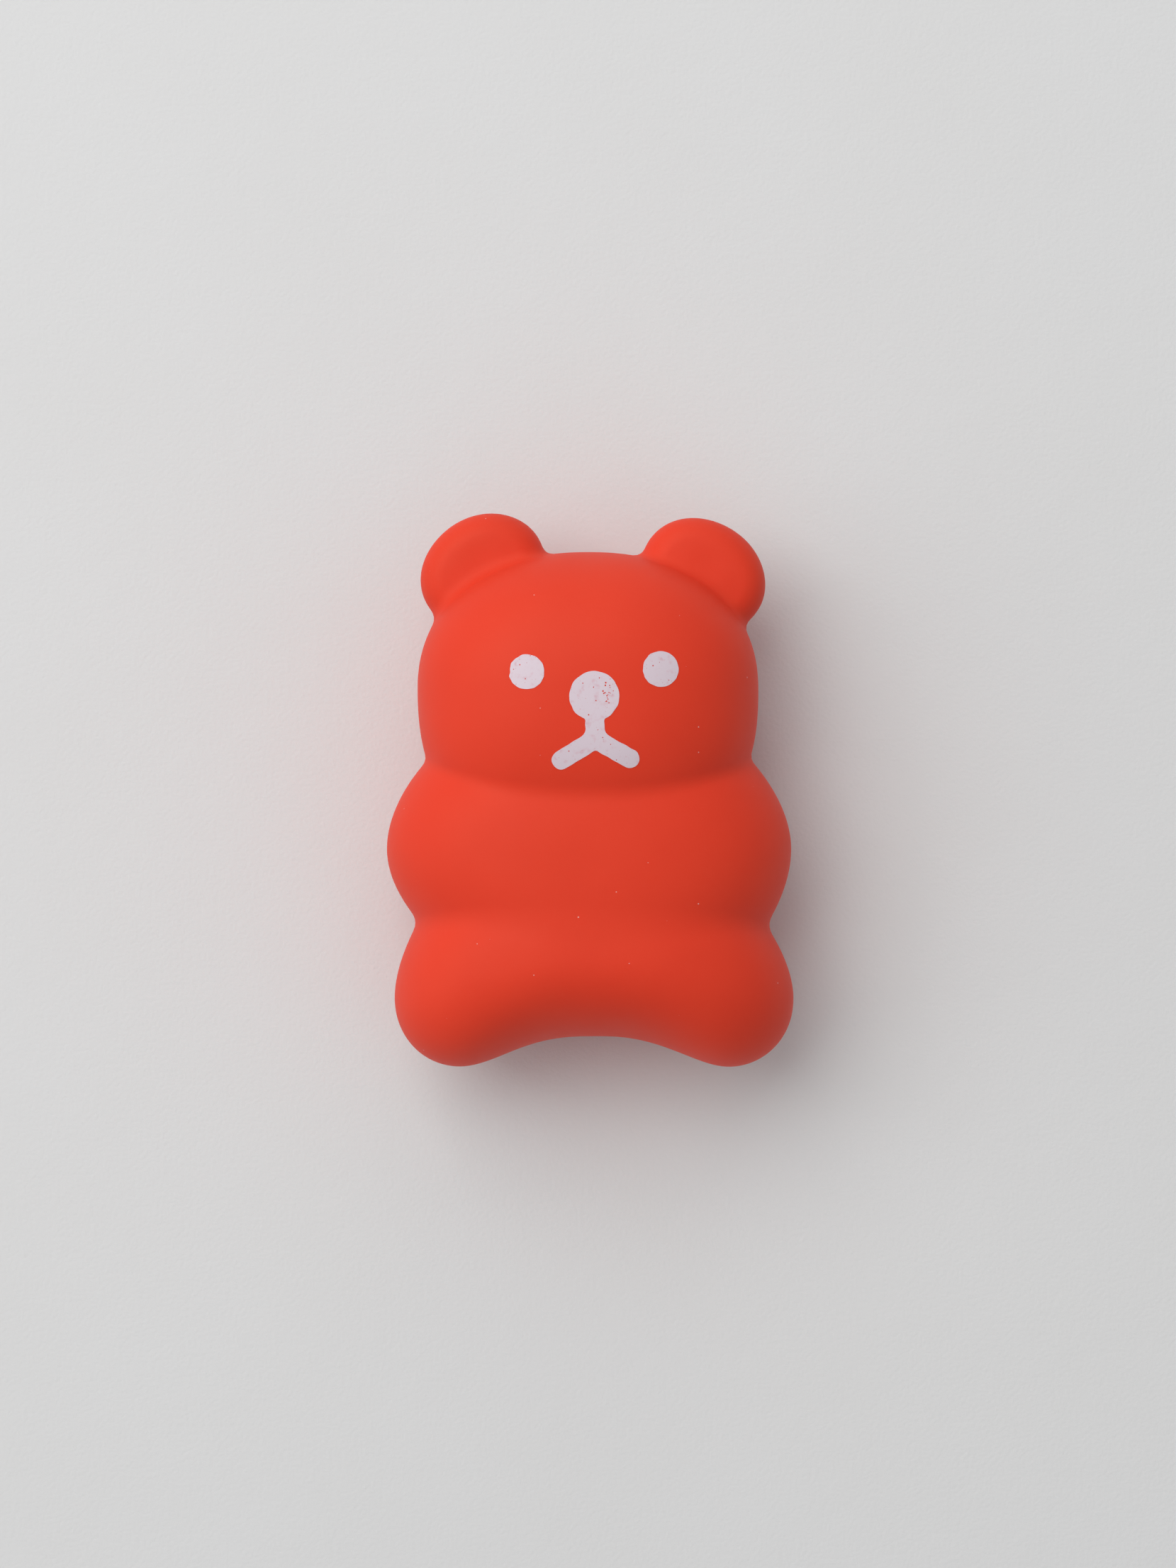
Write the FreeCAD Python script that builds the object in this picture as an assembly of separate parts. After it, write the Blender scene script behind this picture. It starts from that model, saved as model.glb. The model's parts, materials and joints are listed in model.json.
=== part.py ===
# A soft vinyl bear that squeaks when it is squeezed, lying on its back.
# Units are millimetres. +X points to the bear's left side, +Y to the top of its head and
# +Z out of its face. z = 0 is the table under its back, and the origin is the centre of
# its outline on that table.
#
# The skin is one hollow moulding: a head with two ears, a torso whose ends are the arms,
# and a lower part whose ends are the feet. Each of these is a swollen form given by a
# formula, and the skin is their union. Its back carries a collar that grips the squeaker.
import FreeCAD, Part
import math
import os

Vec = FreeCAD.Vector

# ---- Outline, seen from the front ------------------------------------------------------
EAR_RISE = 7.2  # ear tips above the crown
HEAD_RISE = 24.9  # crown above the widest line of the head
HEAD_TO_ARMS = 28.6  # from the widest line of the head down to that of the arms
ARMS_TO_FEET = 27.3  # from the widest line of the arms down to that of the feet
FOOT_DROP = 12.0  # soles below the widest line of the feet
HEAD_WIDTH = 61.4
CHIN_DROP = 29.0  # how far the head's form reaches below its widest line, inside the torso
ARM_SPAN = 73.0
LEG_SPAN = 72.1
FOOT_WIDTH = 23.2  # width of the round end of one foot
ARCH_RISE = 5.5  # top of the arch between the feet above the soles
HIP_RISE = 8.1  # middle of the hips above the widest line of the feet
EAR_RADIUS = 11.9
EAR_SPREAD = 37.8  # between the centres of the ears
HEAD_SHIFT = -0.5  # the casting isn't quite symmetrical: sideways lean of each form
TORSO_SHIFT = -0.3
LEG_SHIFT = 0.6
EAR_SHIFT = 0.3
EAR_DROOP = 1.0  # the left ear sits this much lower than the right one

# ---- Depth -----------------------------------------------------------------------------
BACK_DEPTH = 21.0  # mid-plane to the back, before the back flattens on the table
REST_FLAT = 0.6  # how much of the soft back flattens
HEAD_FRONT = 24.6  # mid-plane to the front
TORSO_FRONT = 21.9
LEG_FRONT = 21.6
EAR_HALF_THICKNESS = 7.2
EAR_ROUND = 4.2  # rounding of an ear's edges
EAR_DISH_DEPTH = 0.5
EAR_DISH_CURVE = 30.0  # radius of the dish's bottom
EAR_DISH_OUT = 1.1  # from the ear's centre to the dish's, away from the head's middle
EAR_DISH_UP = 3.0
WALL = 2.0

# ---- How full each form is: 2 is an ellipse, and more is squarer -----------------------
HEAD_FULLNESS = 2.5  # of the head, all round and below its widest line
CROWN_FULLNESS = 2.25  # of the head above its widest line
SIDE_FULLNESS = 2.6  # of the torso and the legs, from side to side
DEPTH_FULLNESS = 2.12  # of the torso and the legs, from front to back
TORSO_REACH = 21.6  # half height of the torso's form at the tips of the arms
LEG_REACH = 20.4  # how far the legs' form reaches up at its sides
BELLY_REACH = 1.45  # times further that the torso's form reaches at the middle
HIP_REACH = 1.3  # times further that the legs' form reaches up at the middle
ARCH_POWER = 1.4  # how late the arch drops to the soles

# ---- Face print ------------------------------------------------------------------------
INK_THICKNESS = 0.12
INK_GAP = 0.04  # keeps the print's solids clear of the skin's
EYE_DIAMETER = 6.3
EYE_SPACING = 23.4
EYE_RISE = 4.5  # eyes above the middle of the nose
NOSE_DIAMETER = 8.8
NOSE_BELOW_HEAD_LINE = 1.4  # middle of the nose below the widest line of the head
PRINT_SHIFT = 0.6  # print's middle from the toy's middle
PRINT_TURN = 1.2  # degrees that the print is turned
STROKE = 3.5  # width of the mouth's strokes
MOUTH_DROP = 7.5  # where the strokes meet, below the middle of the nose
MOUTH_REACH = 6.0  # sideways from there to the middle of a stroke's round end
MOUTH_SLOPE = 30.5  # degrees that the strokes fall

# ---- Squeaker, in the middle of the back -----------------------------------------------
TUBE_RADIUS = 7.0
TUBE_LENGTH = 15.8
TUBE_WALL = 1.35
FLANGE_OVERHANG = 1.5
FLANGE_THICKNESS = 1.4
FLANGE_RECESS = 0.25  # flange below the face of the back
BARB_OVERHANG = 0.9
BARB_LENGTH = 2.4
EDGE_BREAK = 0.3
COLLAR_WALL = 3.0
COLLAR_HEIGHT = 7.0
CAP_THICKNESS = 1.0
CAP_LEDGE = 0.7  # width of the ledge that the vent cap sits on
VENT_DIAMETER = 1.4
VENT_COUNT = 6
VENT_CIRCLE = 6.6
FIT = 0.05  # radial clearance of the fixed fits
BLOCK_LENGTH = 12.5
BLOCK_FACE = 0.6  # the tone block's flat face, below the tube's axis
CHANNEL_WIDTH = 3.0
CHANNEL_DEPTH = 2.4
CHANNEL_END = 1.5  # solid end of the tone block, past the channel
REED_WIDTH = 4.4
REED_THICKNESS = 0.15
REED_FREE_LENGTH = 8.4
REED_TAIL = 1.0  # held between the block and the wedge
REED_LIFT = 3.5  # degrees that the free end stands off the block
REED_PLAY = 0.07  # room for the held end to turn

# ---- Worked out ------------------------------------------------------------------------
HEIGHT = EAR_RISE + HEAD_RISE + HEAD_TO_ARMS + ARMS_TO_FEET + FOOT_DROP
EAR_TOP_Y = HEIGHT / 2
HEAD_Y = EAR_TOP_Y - EAR_RISE - HEAD_RISE
ARMS_Y = HEAD_Y - HEAD_TO_ARMS
FEET_Y = ARMS_Y - ARMS_TO_FEET
SOLE_Y = FEET_Y - FOOT_DROP
EAR_Y = EAR_TOP_Y - EAR_RADIUS
MID_Z = BACK_DEPTH - REST_FLAT
NOSE_Y = HEAD_Y - NOSE_BELOW_HEAD_LINE
SQUEAKER = Vec(TORSO_SHIFT, ARMS_Y, 0)
FLANGE_RADIUS = TUBE_RADIUS + FLANGE_OVERHANG
FLANGE_TOP = FLANGE_RECESS + FLANGE_THICKNESS
TUBE_BORE = TUBE_RADIUS - TUBE_WALL
CAP_TOP = FLANGE_RECESS + CAP_THICKNESS
CAP_RADIUS = TUBE_BORE + CAP_LEDGE
BLOCK_START = CAP_TOP + FIT
HINGE_Z = BLOCK_START + BLOCK_LENGTH - CHANNEL_END - REED_FREE_LENGTH + REED_TAIL
REED_BASE_Y = -BLOCK_FACE + REED_PLAY

# ---- How finely the formulas are followed ----------------------------------------------
RING_POINTS = 20
STATION_ANGLES = (87, 78, 67, 54, 40, 26, 13, 0)
BIG = 400.0  # larger than the toy, for cutting boxes


def stations():
    """Places from -1 to 1 along a form, closer together towards its rounded ends."""
    one_side = [math.sin(math.radians(a)) for a in STATION_ANGLES]
    return [-s for s in one_side] + list(reversed(one_side[:-1]))


def ring(point_at, fullness):
    """A closed smooth wire through point_at(across, out), once around a unit ring as full
    as asked. Every ring has its points at the same places along it, so lofts are smooth."""
    points = []
    for i in range(RING_POINTS):
        a = 2 * math.pi * i / RING_POINTS
        cosine, sine = math.cos(a), math.sin(a)
        size = (abs(cosine) ** fullness + abs(sine) ** fullness) ** (-1 / fullness)
        points.append(point_at(cosine * size, sine * size))
    curve = Part.BSplineCurve()
    steps = [i / RING_POINTS for i in range(RING_POINTS + 1)]
    curve.interpolate(Points=points, PeriodicFlag=True, Parameters=steps)
    return Part.Wire(curve.toShape())


def head_form(grow=0.0):
    """The head, its surface moved out by grow."""
    half_width = HEAD_WIDTH / 2 + grow

    def head_ring(along):
        reach = (HEAD_RISE if along > 0 else CHIN_DROP) + grow
        fullness = CROWN_FULLNESS if along > 0 else HEAD_FULLNESS
        size = (1 - abs(along) ** fullness) ** (1 / fullness)

        def point(across, out):
            depth = (HEAD_FRONT if out > 0 else BACK_DEPTH) + grow
            x = HEAD_SHIFT + half_width * size * across
            return Vec(x, HEAD_Y + along * reach, MID_Z + depth * size * out)

        return ring(point, HEAD_FULLNESS)

    return Part.makeLoft([head_ring(s) for s in stations()], True, False)


def side_to_side_form(shift, half_width, front, grow, upper_lower):
    """A form built of rings across X. upper_lower(share) gives, for a share of the half
    width, the height of the ring's widest line and how far it reaches above and below."""

    def side_ring(share):
        left = 1 - abs(share) ** SIDE_FULLNESS
        middle, up, down = upper_lower(share)

        def point(across, out):
            reach = (up if across > 0 else down) + grow
            depth = (front if out > 0 else BACK_DEPTH) + grow
            y = middle + reach * math.sqrt(left) * across
            z = MID_Z + depth * left ** (1 / DEPTH_FULLNESS) * out
            return Vec(shift + (half_width + grow) * share, y, z)

        return ring(point, DEPTH_FULLNESS)

    return Part.makeLoft([side_ring(s) for s in stations()], True, False)


def widening(share, times):
    """1 at the sides and more at the middle, where a form reaches times further."""
    at_middle = 1 / times
    return 1 / (at_middle + (1 - at_middle) * share * share)


def torso_form(grow=0.0):
    """The torso with both arms."""

    def heights(share):
        reach = TORSO_REACH * widening(share, BELLY_REACH)
        return ARMS_Y, reach, reach

    return side_to_side_form(TORSO_SHIFT, ARM_SPAN / 2, TORSO_FRONT, grow, heights)


def sole_line(share):
    """Y of the lower outline: an arch at the middle and a round foot on each side."""
    half_span, foot_radius = LEG_SPAN / 2, FOOT_WIDTH / 2
    foot_x = half_span - foot_radius
    x = abs(share) * half_span
    if x > foot_x:
        return FEET_Y - FOOT_DROP * math.sqrt(max(0.0, 1 - ((x - foot_x) / foot_radius) ** 2))
    t = (x / foot_x) ** ARCH_POWER
    return SOLE_Y + ARCH_RISE * (1 - t * t * (3 - 2 * t))


def leg_form(grow=0.0):
    """The hips with both legs."""

    def heights(share):
        middle = FEET_Y + HIP_RISE * (1 - share * share)
        left = 1 - abs(share) ** SIDE_FULLNESS
        down = (middle - sole_line(share)) / math.sqrt(left)
        return middle, LEG_REACH * widening(share, HIP_REACH), down

    return side_to_side_form(LEG_SHIFT, LEG_SPAN / 2, LEG_FRONT, grow, heights)


def ear_form(side, grow=0.0):
    """One ear, side +1 for the bear's left: a thick round disc, dished on its front."""
    half_thickness = EAR_HALF_THICKNESS + grow
    disc = Part.makeCylinder(EAR_RADIUS + grow, 2 * half_thickness, Vec(0, 0, -half_thickness))
    rims = [edge for edge in disc.Edges if len(edge.Vertexes) == 1]
    disc = disc.makeFillet(EAR_ROUND + grow, rims)
    if side < 0:
        disc.rotate(Vec(), Vec(0, 0, 1), 180)  # so its seam is clear of the head
    dish_height = EAR_HALF_THICKNESS - EAR_DISH_DEPTH + EAR_DISH_CURVE
    dish_centre = Vec(side * EAR_DISH_OUT, EAR_DISH_UP, dish_height)
    disc = disc.cut(Part.makeSphere(EAR_DISH_CURVE - grow, dish_centre))
    droop = EAR_DROOP if side > 0 else 0
    disc.translate(Vec(EAR_SHIFT + side * EAR_SPREAD / 2, EAR_Y - droop, MID_Z))
    return disc


def body_form(grow, back):
    """Every form of the toy joined, its surface moved out by grow and cut off below back."""
    joined = head_form(grow)
    for form in (ear_form(1, grow), ear_form(-1, grow), torso_form(grow), leg_form(grow)):
        joined = joined.fuse(form)
    return joined.common(Part.makeBox(BIG, BIG, BIG, Vec(-BIG / 2, -BIG / 2, back)))


def disc(radius, start, end):
    """A round bar on the squeaker's axis from one z to another."""
    return Part.makeCylinder(radius, end - start, SQUEAKER + Vec(0, 0, start))


def cone(radius_low, radius_high, start, end):
    """A tapered round bar on the squeaker's axis."""
    return Part.makeCone(radius_low, radius_high, end - start, SQUEAKER + Vec(0, 0, start))


def body_skin():
    """The hollow skin, with the collar and the seat for the squeaker."""
    skin = body_form(0.0, 0.0).cut(body_form(-WALL, WALL))
    skin = skin.fuse(disc(TUBE_RADIUS + COLLAR_WALL, WALL / 2, COLLAR_HEIGHT))
    skin = skin.cut(disc(TUBE_RADIUS, -1, COLLAR_HEIGHT + 1))
    return skin.cut(disc(FLANGE_RADIUS + FIT, -1, FLANGE_TOP))


def ink(outline_prism):
    """What a prism through the face cuts out of the ink layer on the head."""
    return head_form(INK_GAP + INK_THICKNESS).common(outline_prism).cut(head_form(INK_GAP))


def turned(x, y):
    """A point of the print, from the middle of the nose, as placed on the toy."""
    a = math.radians(PRINT_TURN)
    return Vec(
        PRINT_SHIFT + x * math.cos(a) - y * math.sin(a),
        NOSE_Y + x * math.sin(a) + y * math.cos(a),
        MID_Z,
    )


def round_prism(x, y, radius):
    """A round prism out of the face, at a point of the print."""
    return Part.makeCylinder(radius, BIG, turned(x, y))


def stroke_prism(x0, y0, x1, y1):
    """A prism as wide as a stroke of the mouth, between two points of the print."""
    run = math.hypot(x1 - x0, y1 - y0)
    across_x, across_y = (y0 - y1) / run * STROKE / 2, (x1 - x0) / run * STROKE / 2
    corners = [
        turned(x0 + across_x, y0 + across_y),
        turned(x0 - across_x, y0 - across_y),
        turned(x1 - across_x, y1 - across_y),
        turned(x1 + across_x, y1 + across_y),
    ]
    return Part.Face(Part.makePolygon(corners + corners[:1])).extrude(Vec(0, 0, BIG))


def eye(side):
    """One printed eye, side +1 for the bear's left."""
    return ink(round_prism(side * EYE_SPACING / 2, EYE_RISE, EYE_DIAMETER / 2))


def nose_and_mouth():
    """The printed nose, the stroke below it and the two strokes of the mouth."""
    end_y = -MOUTH_DROP - MOUTH_REACH * math.tan(math.radians(MOUTH_SLOPE))
    strokes = [stroke_prism(0, 0, 0, -MOUTH_DROP)]
    for side in (1, -1):
        strokes.append(stroke_prism(0, -MOUTH_DROP, side * MOUTH_REACH, end_y))
        strokes.append(round_prism(side * MOUTH_REACH, end_y, STROKE / 2))
    outline = round_prism(0, 0, NOSE_DIAMETER / 2).fuse(strokes)
    return ink(outline.removeSplitter())


def squeaker_tube():
    """The squeaker's outer tube: a flange outside the skin and a barb inside it."""
    barb_z = COLLAR_HEIGHT + FIT
    tube = disc(TUBE_RADIUS - FIT, FLANGE_RECESS, FLANGE_RECESS + TUBE_LENGTH)
    rim_z = FLANGE_RECESS + EDGE_BREAK
    flange = disc(FLANGE_RADIUS, rim_z, FLANGE_TOP)
    flange = flange.fuse(cone(FLANGE_RADIUS - EDGE_BREAK, FLANGE_RADIUS, FLANGE_RECESS, rim_z))
    barb = cone(TUBE_RADIUS + BARB_OVERHANG, TUBE_RADIUS - FIT, barb_z, barb_z + BARB_LENGTH)
    tube = tube.fuse([flange, barb])
    tube = tube.cut(disc(TUBE_BORE, -1, BIG))
    return tube.cut(disc(CAP_RADIUS, -1, CAP_TOP))


def vent_cap():
    """The cap in the tube's mouth, with a ring of vent holes around a middle one."""
    cap = disc(CAP_RADIUS - FIT, FLANGE_RECESS, CAP_TOP)
    places = [Vec()]
    for i in range(VENT_COUNT):
        a = 2 * math.pi * i / VENT_COUNT
        places.append(Vec(math.cos(a), math.sin(a), 0) * (VENT_CIRCLE / 2))
    for place in places:
        cap = cap.cut(Part.makeCylinder(VENT_DIAMETER / 2, BIG, SQUEAKER + place - Vec(0, 0, 1)))
    return cap


def bore_half(start, end, low_y, high_y):
    """The part of a bar in the tube's bore that lies between two heights across it."""
    box = Part.makeBox(BIG, high_y - low_y, BIG, SQUEAKER + Vec(-BIG / 2, low_y, -1))
    return disc(TUBE_BORE - FIT, start, end).common(box)


def tone_block():
    """The half-round block with the air channel that the reed beats over."""
    end = BLOCK_START + BLOCK_LENGTH
    block = bore_half(BLOCK_START, end, -BIG, -BLOCK_FACE)
    low = SQUEAKER + Vec(-CHANNEL_WIDTH / 2, -BLOCK_FACE - CHANNEL_DEPTH, 0)
    return block.cut(Part.makeBox(CHANNEL_WIDTH, BIG, end - CHANNEL_END, low))


def reed():
    """The springy tongue: a short held end, and a free end that stands off the block."""
    lift = math.radians(REED_LIFT)
    y, z = REED_BASE_Y, HINGE_Z
    rise, run = REED_FREE_LENGTH * math.sin(lift), REED_FREE_LENGTH * math.cos(lift)
    corners = [
        (y, z - REED_TAIL),
        (y + REED_THICKNESS, z - REED_TAIL),
        (y + REED_THICKNESS, z),
        (y + REED_THICKNESS + rise, z + run),
        (y + rise, z + run),
        (y, z),
    ]
    points = [SQUEAKER + Vec(-REED_WIDTH / 2, a, b) for a, b in corners]
    return Part.Face(Part.makePolygon(points + points[:1])).extrude(Vec(REED_WIDTH, 0, 0))


def reed_wedge():
    """The half-round wedge that holds the reed's end against the tone block."""
    low_y = REED_BASE_Y + REED_THICKNESS + REED_PLAY
    return bore_half(BLOCK_START, HINGE_Z, low_y, BIG)


def main():
    """Builds every sub-part and writes it as STEP."""
    os.makedirs("parts", exist_ok=True)
    nodes = {
        "body_skin": body_skin(),
        "left_eye": eye(1),
        "right_eye": eye(-1),
        "nose_and_mouth": nose_and_mouth(),
        "squeaker_tube": squeaker_tube(),
        "vent_cap": vent_cap(),
        "tone_block": tone_block(),
        "reed": reed(),
        "reed_wedge": reed_wedge(),
    }
    for name, shape in nodes.items():
        shape.exportStep(f"parts/{name}.step")
        print(f"{name}: {len(shape.Solids)} solid(s), {shape.Volume:.1f} mm3, valid {shape.isValid()}")
    print(f"reed hinge z {HINGE_Z:.3f}, y {SQUEAKER.y + REED_BASE_Y:.3f}, height {HEIGHT:.2f}")


main()
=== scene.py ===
"""A soft vinyl bear that squeaks when it is squeezed, lying on its back on a pale sheet.

Sizes are in metres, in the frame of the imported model: +X to the bear's left side, +Y to
the top of its head, +Z out of its face, and z = 0 on the sheet under its back.
"""

import json
import logging
import math
from dataclasses import dataclass
from enum import Enum
from typing import Callable

import bpy
import numpy as np
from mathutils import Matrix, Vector


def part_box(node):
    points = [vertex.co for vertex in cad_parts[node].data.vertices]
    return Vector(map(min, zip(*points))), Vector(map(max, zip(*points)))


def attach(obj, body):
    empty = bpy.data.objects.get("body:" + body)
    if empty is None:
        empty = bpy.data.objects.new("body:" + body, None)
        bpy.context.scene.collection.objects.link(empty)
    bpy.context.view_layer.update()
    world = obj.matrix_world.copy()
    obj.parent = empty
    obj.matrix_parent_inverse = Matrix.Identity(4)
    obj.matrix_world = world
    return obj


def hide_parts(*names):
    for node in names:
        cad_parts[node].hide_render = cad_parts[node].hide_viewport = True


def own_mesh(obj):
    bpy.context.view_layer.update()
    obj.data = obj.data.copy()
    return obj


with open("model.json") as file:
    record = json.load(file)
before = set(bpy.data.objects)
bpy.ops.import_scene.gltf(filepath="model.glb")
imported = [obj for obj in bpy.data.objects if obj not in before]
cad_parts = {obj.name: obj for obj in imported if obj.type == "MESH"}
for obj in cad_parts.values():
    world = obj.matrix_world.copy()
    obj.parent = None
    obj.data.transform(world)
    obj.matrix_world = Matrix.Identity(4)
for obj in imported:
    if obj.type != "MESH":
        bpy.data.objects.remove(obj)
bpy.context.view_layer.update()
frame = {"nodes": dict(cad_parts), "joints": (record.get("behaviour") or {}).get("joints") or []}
LOG = logging.getLogger("bear")
MM = 0.001
TINY = 1e-9
PROBE = 0.01 * MM  # step that slopes are measured over

Field = Callable[[np.ndarray], np.ndarray]
Colour = tuple[float, float, float]


class Side(Enum):
    """The bear's own left and right, as signs of X."""

    LEFT = 1
    RIGHT = -1


# ---- Shaping ---------------------------------------------------------------------------
def soft_union(a: np.ndarray, b: np.ndarray, blend: np.ndarray | float) -> np.ndarray:
    """Joins two forms, with a hollow fillet where they meet.

    Args:
        a: Distance to the first form, negative inside.
        b: Distance to the second form.
        blend: Width of the fillet.

    Returns:
        Distance to the joined form.
    """
    near = np.maximum(blend - np.abs(a - b), 0.0)
    return np.minimum(a, b) - near * near / (4.0 * np.maximum(blend, TINY))


def soft_cut(a: np.ndarray, cutter: np.ndarray, blend: float) -> np.ndarray:
    """Takes a cutter away from a form, with a rounded edge.

    Args:
        a: Distance to the form, negative inside.
        cutter: Distance to the cutter.
        blend: Width of the rounding.

    Returns:
        Distance to what is left.
    """
    return -soft_union(-a, cutter, blend)


def slopes(field: Field, points: np.ndarray, value: np.ndarray) -> np.ndarray:
    """Measures how fast a field rises along each axis.

    Args:
        field: The field.
        points: Places, one to a row.
        value: The field's values there.

    Returns:
        The slopes, one row to a place.
    """
    rise = np.empty_like(points)
    for axis in range(points.shape[1]):
        moved = points.copy()
        moved[:, axis] += PROBE
        rise[:, axis] = (field(moved) - value) / PROBE
    return rise


def distance(level: Field, points: np.ndarray) -> np.ndarray:
    """Turns a form's level, zero on its surface, into a distance that is true near it.

    Args:
        level: The form's level.
        points: Places, one to a row.

    Returns:
        Distances, negative inside.
    """
    value = level(points)
    rise = slopes(level, points, value)
    return value / np.sqrt((rise * rise).sum(axis=1) + TINY)


def ripple(points: np.ndarray, wavelength: float, seed: int, waves: int = 10) -> np.ndarray:
    """A smooth unevenness made of waves in many directions.

    Args:
        points: Places, one to a row, with two or three coordinates.
        wavelength: Typical distance between crests.
        seed: Picks the directions and phases.
        waves: How many waves are added.

    Returns:
        Heights, mostly between -1 and 1.
    """
    draw = np.random.default_rng(seed)
    total = np.zeros(len(points))
    for _ in range(waves):
        heading = draw.normal(size=points.shape[1])
        heading /= np.linalg.norm(heading)
        pitch = wavelength * draw.uniform(0.6, 1.6)
        total += np.sin(2 * math.pi * points @ heading / pitch + draw.uniform(0, 2 * math.pi))
    return total / math.sqrt(waves)


@dataclass
class BearForm:
    """The bear's outside: swollen forms for head, torso, legs and ears, joined softly."""

    low: tuple[float, float, float]
    high: tuple[float, float, float]
    ear_rise: float = 7.2 * MM  # ear tips above the crown
    head_rise: float = 24.9 * MM  # crown above the widest line of the head
    head_to_arms: float = 28.6 * MM
    arms_to_feet: float = 27.3 * MM
    foot_drop: float = 12.0 * MM
    chin_drop: float = 29.0 * MM
    head_width: float = 61.4 * MM
    arm_span: float = 72.9 * MM
    leg_span: float = 72.0 * MM
    foot_width: float = 23.2 * MM
    arch_rise: float = 5.5 * MM
    hip_rise: float = 8.1 * MM
    ear_length: float = 11.65 * MM  # half the ear's oval outline, along the head
    ear_breadth: float = 9.75 * MM  # half of it, outwards from the head
    ear_turn: float = math.radians(32.0)
    ear_spread: float = 39.8 * MM
    left_ear_droop: float = 1.05 * MM
    right_ear_droop: float = 0.3 * MM
    ear_half_thickness: float = 7.2 * MM
    ear_round: float = 4.2 * MM
    ear_dome: float = 0.9 * MM  # fall of each face from its middle to its edge
    dish_depth: float = 0.22 * MM
    dish_curve: float = 60.0 * MM
    dish_out: float = 1.1 * MM  # of its middle from the ear's
    dish_up: float = 3.0 * MM
    dish_edge: float = 0.12 * MM
    head_shift: float = -0.5 * MM  # sideways lean of each form
    torso_shift: float = -0.3 * MM
    leg_shift: float = 0.6 * MM
    ear_shift: float = 0.42 * MM
    belly_lean: float = 4.5  # sideways curve of the belly below the arms, per metre
    hip_lean: float = 3.0  # and of the hips above the feet
    middle_height: float = 20.4 * MM  # of the mid-plane above the sheet
    back_depth: float = 21.0 * MM
    head_front: float = 24.6 * MM
    torso_front: float = 21.9 * MM
    leg_front: float = 21.6 * MM
    head_fullness: float = 2.5
    crown_fullness: float = 2.25
    side_fullness: float = 2.6
    depth_fullness: float = 2.12
    torso_reach: float = 21.6 * MM
    belly_reach: float = 1.45
    belly_square: float = 2.9  # how flat the belly is towards the hips
    belly_fade: float = 4.0  # how soon that flatness ends to the sides
    leg_reach: float = 20.4 * MM
    hip_reach: float = 1.3
    arch_power: float = 1.4
    neck_blend: float = 1.1 * MM
    ear_blend: float = 2.0 * MM
    waist_blend: float = 1.9 * MM
    belly_blend: float = 1.3 * MM  # at the middle, where the waist's crease fades
    rest_blend: float = 1.2 * MM
    unevenness: float = 0.05 * MM
    unevenness_length: float = 17.0 * MM
    unevenness_seed: int = 4
    drop_rounds: int = 8  # steps that find the height of the face
    least_slope: float = 0.2

    def __post_init__(self) -> None:
        """Works out the heights of the widest lines from the top of the frame's box."""
        self.head_y = self.high[1] - self.ear_rise - self.head_rise
        self.arms_y = self.head_y - self.head_to_arms
        self.feet_y = self.arms_y - self.arms_to_feet
        self.sole_y = self.feet_y - self.foot_drop
        length_up = self.ear_length * math.sin(self.ear_turn)
        breadth_up = self.ear_breadth * math.cos(self.ear_turn)
        self.ear_y = self.high[1] - math.hypot(length_up, breadth_up)

    def depth_share(self, z: np.ndarray, front: float) -> np.ndarray:
        """Depth as a share of a form's own depth to the front or to the back."""
        out = z - self.middle_height
        return np.abs(out) / np.where(out > 0, front, self.back_depth)

    def head_level(self, p: np.ndarray) -> np.ndarray:
        """Level of the head's form."""
        full = self.head_fullness
        across = np.abs(p[:, 0] - self.head_shift) / (self.head_width / 2)
        out = self.depth_share(p[:, 2], self.head_front)
        girth = (across**full + out**full) ** (1 / full)
        up = p[:, 1] - self.head_y
        along = np.abs(up) / np.where(up > 0, self.head_rise, self.chin_drop)
        full_along = np.where(up > 0, self.crown_fullness, self.head_fullness)
        return (girth**full_along + along**full_along) ** (1 / full_along) - 1

    def swell(self, outline_squared: np.ndarray, z: np.ndarray, front: float) -> np.ndarray:
        """Level of a form that swells to the front and back from a flat outline.

        Args:
            outline_squared: 1 on the outline, and 0 at the middle.
            z: Heights above the sheet.
            front: The form's depth to the front.

        Returns:
            The level, zero on the surface.
        """
        full = self.depth_fullness
        out = self.depth_share(z, front)
        return (outline_squared ** (full / 2) + out**full) ** (1 / full) - 1

    @staticmethod
    def widening(share: np.ndarray, times: float) -> np.ndarray:
        """1 at the sides and more at the middle, where a form reaches times further."""
        at_middle = 1 / times
        return 1 / (at_middle + (1 - at_middle) * np.minimum(share, 1.0) ** 2)

    def torso_level(self, p: np.ndarray) -> np.ndarray:
        """Level of the torso with both arms."""
        rise = p[:, 1] - self.arms_y
        shift = self.torso_shift + self.belly_lean * np.minimum(rise, 0.0) ** 2
        share = np.abs(p[:, 0] - shift) / (self.arm_span / 2)
        reach = self.torso_reach * self.widening(share, self.belly_reach)
        inner = np.clip(1 - share * share, 0.0, 1.0) ** self.belly_fade
        square = 2 + (self.belly_square - 2) * np.where(rise < 0, inner, 0.0)
        outline = share**self.side_fullness + np.abs(rise / reach) ** square
        return self.swell(outline, p[:, 2], self.torso_front)

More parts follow.
